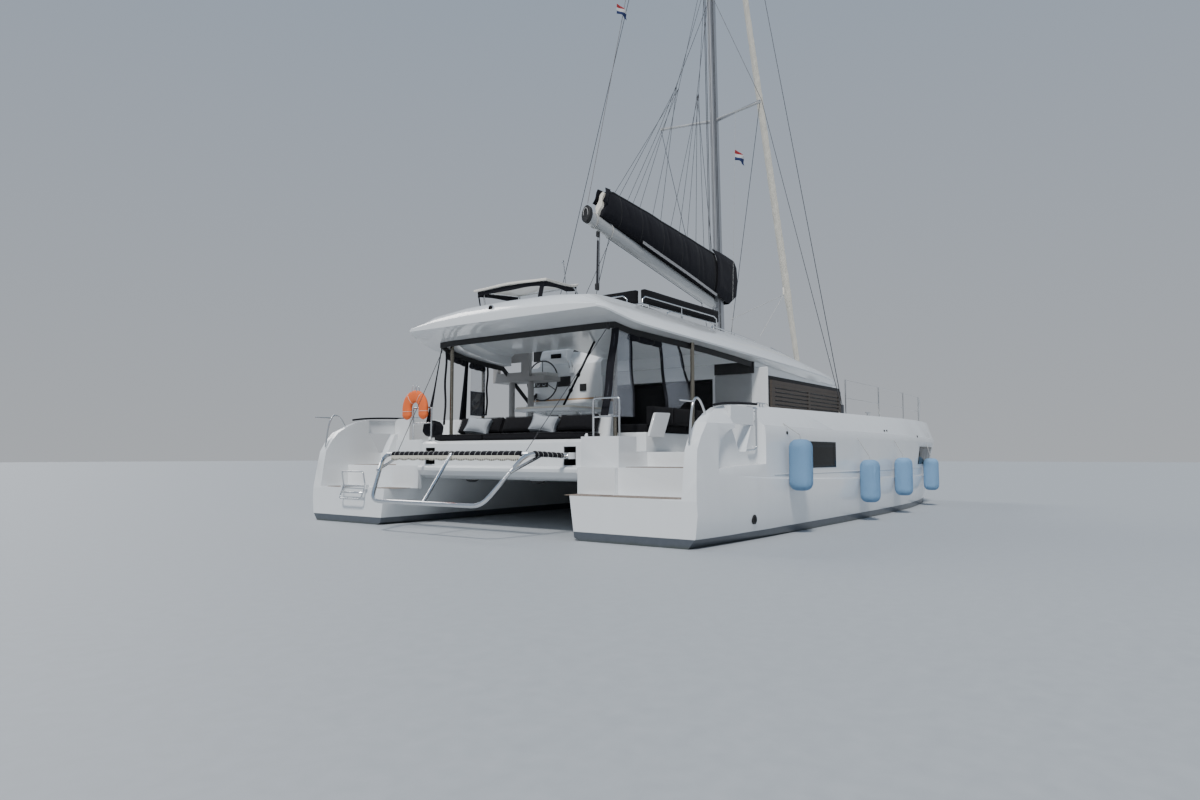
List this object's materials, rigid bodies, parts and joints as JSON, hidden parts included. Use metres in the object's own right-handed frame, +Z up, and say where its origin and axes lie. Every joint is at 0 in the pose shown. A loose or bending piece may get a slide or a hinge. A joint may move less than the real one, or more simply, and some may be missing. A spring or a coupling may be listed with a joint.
{
  "type": "sailing catamaran",
  "caption": "Cruising sailing catamaran with saloon, cockpit hard top, raised helm, rig with bagged mainsail, tender davit and swim platforms, afloat.",
  "frame": {"origin": "on the waterline, amidships, on the centreline", "axes": "+X towards the bows, +Y to port, +Z up"},
  "size_m": [13.67, 8.0634, 21.9],
  "materials": {
    "gelcoat": "glossy white gelcoat",
    "antifouling": "dull slate bottom paint",
    "window_glass": "dark tinted acrylic",
    "stainless": "polished stainless tube",
    "helm_grey": "moulded grey",
    "cream_top": "cream moulded top",
    "sailcloth": "pale cream sail cover",
    "cushion": "near black outdoor cloth",
    "alloy": "silver anodised",
    "canvas": "near black sail bag cloth",
    "net": "pale woven net",
    "teak": "weathered teak",
    "fender_cover": "light blue knitted cover",
    "buoy_cover": "orange cover",
    "engine_iron": "painted casting",
    "bronze": "propeller bronze"
  },
  "bodies": {
    "root": {"hull_starboard": "gelcoat", "hull_port": "gelcoat", "bridgedeck": "gelcoat", "saloon_house": "gelcoat", "roof": "gelcoat", "helm_console": "gelcoat", "cockpit_table": "gelcoat", "keel_starboard": "antifouling", "keel_port": "antifouling", "saloon_glass": "window_glass", "door_fixed": "window_glass", "roof_post_aft_starboard": "stainless", "roof_post_side_starboard": "stainless", "roof_post_aft_port": "stainless", "roof_post_side_port": "stainless", "helm_hardtop_frame": "stainless", "lounge_rail": "stainless", "shrouds_starboard": "stainless", "shrouds_port": "stainless", "guardrail_starboard": "stainless", "guardrail_port": "stainless", "stern_rail_starboard": "stainless", "stern_rail_port": "stainless", "gate_handrail_starboard": "stainless", "gate_handrail_port": "stainless", "helm_seat": "helm_grey", "helm_hardtop": "cream_top", "furled_headsail": "sailcloth", "lounge_backrest": "cushion", "lounge_pad": "cushion", "cockpit_sofa": "cushion", "stern_seat": "cushion", "stern_backrest": "cushion", "mast": "alloy", "bow_spine": "alloy", "sail_bag_front": "canvas", "trampoline_starboard": "net", "trampoline_port": "net", "gangway": "teak", "fender_1": "fender_cover", "fender_2": "fender_cover", "fender_3": "fender_cover", "fender_4": "fender_cover", "horseshoe_buoy": "buoy_cover", "engine_starboard": "engine_iron", "engine_port": "engine_iron"},
    "boom": {"boom": "alloy", "sail_bag": "canvas"},
    "wheel": {"helm_wheel": "stainless"},
    "rudder_starboard": {"rudder_starboard": "antifouling"},
    "rudder_port": {"rudder_port": "antifouling"},
    "propeller_starboard": {"propeller_starboard": "bronze"},
    "propeller_port": {"propeller_port": "bronze"},
    "davit": {"davit_frame": "stainless"},
    "ladder": {"swim_ladder": "stainless"},
    "gate_starboard": {"gate_starboard": "gelcoat"},
    "gate_port": {"gate_port": "gelcoat"},
    "door": {"door_sliding": "window_glass"},
    "hatch_starboard": {"engine_hatch_starboard": "teak"},
    "hatch_port": {"engine_hatch_port": "teak"}
  },
  "joints": [
    {"name": "boom_swing", "type": "hinge", "parent": "root", "child": "boom", "pos_m": [1.107, 0, 4.45], "axis": [0, 0, 1], "range_deg": [-32, 32]},
    {"name": "rudder_starboard_steer", "type": "hinge", "parent": "root", "child": "rudder_starboard", "pos_m": [-5.56, -2.79, 0], "axis": [0, 0, 1], "range_deg": [-35, 35]},
    {"name": "rudder_port_steer", "type": "hinge", "parent": "root", "child": "rudder_port", "pos_m": [-5.56, 2.79, 0], "axis": [0, 0, 1], "range_deg": [-35, 35]},
    {"name": "wheel_turn", "type": "hinge", "parent": "root", "child": "wheel", "pos_m": [-2.4, 2.03, 2.6], "axis": [1, 0, 0], "range_deg": [-540, 540]},
    {"name": "propeller_starboard_spin", "type": "hinge", "parent": "root", "child": "propeller_starboard", "pos_m": [-4.86, -2.79, -0.66], "axis": [1, 0, 0], "continuous": true},
    {"name": "propeller_port_spin", "type": "hinge", "parent": "root", "child": "propeller_port", "pos_m": [-4.86, 2.79, -0.66], "axis": [1, 0, 0], "continuous": true},
    {"name": "davit_lift", "type": "hinge", "parent": "root", "child": "davit", "pos_m": [-5.905, 0, 1.095], "axis": [0, 1, 0], "range_deg": [0, 70]},
    {"name": "ladder_fold", "type": "hinge", "parent": "root", "child": "ladder", "pos_m": [-6.4153, 0, 0.605], "axis": [0, 1, 0], "range_deg": [0, 90]},
    {"name": "gate_starboard_swing", "type": "hinge", "parent": "root", "child": "gate_starboard", "pos_m": [-4.766, -3.677, 1.6], "axis": [0, 0, 1], "range_deg": [-88, 0]},
    {"name": "gate_port_swing", "type": "hinge", "parent": "root", "child": "gate_port", "pos_m": [-4.766, 3.677, 1.6], "axis": [0, 0, 1], "range_deg": [0, 88]},
    {"name": "door_slide", "type": "slide", "parent": "root", "child": "door", "axis": [0, 1, 0], "range_m": [0, 1.04]},
    {"name": "hatch_starboard_lift", "type": "hinge", "parent": "root", "child": "hatch_starboard", "pos_m": [-4.126, -2.79, 1.15], "axis": [0, 1, 0], "range_deg": [0, 75]},
    {"name": "hatch_port_lift", "type": "hinge", "parent": "root", "child": "hatch_port", "pos_m": [-4.126, 2.79, 1.15], "axis": [0, 1, 0], "range_deg": [0, 75]}
  ],
  "couplings": [
    {"joint": "rudder_port_steer", "follows": "rudder_starboard_steer", "ratio": 1},
    {"joint": "wheel_turn", "follows": "rudder_starboard_steer", "ratio": 15.429}
  ]
}
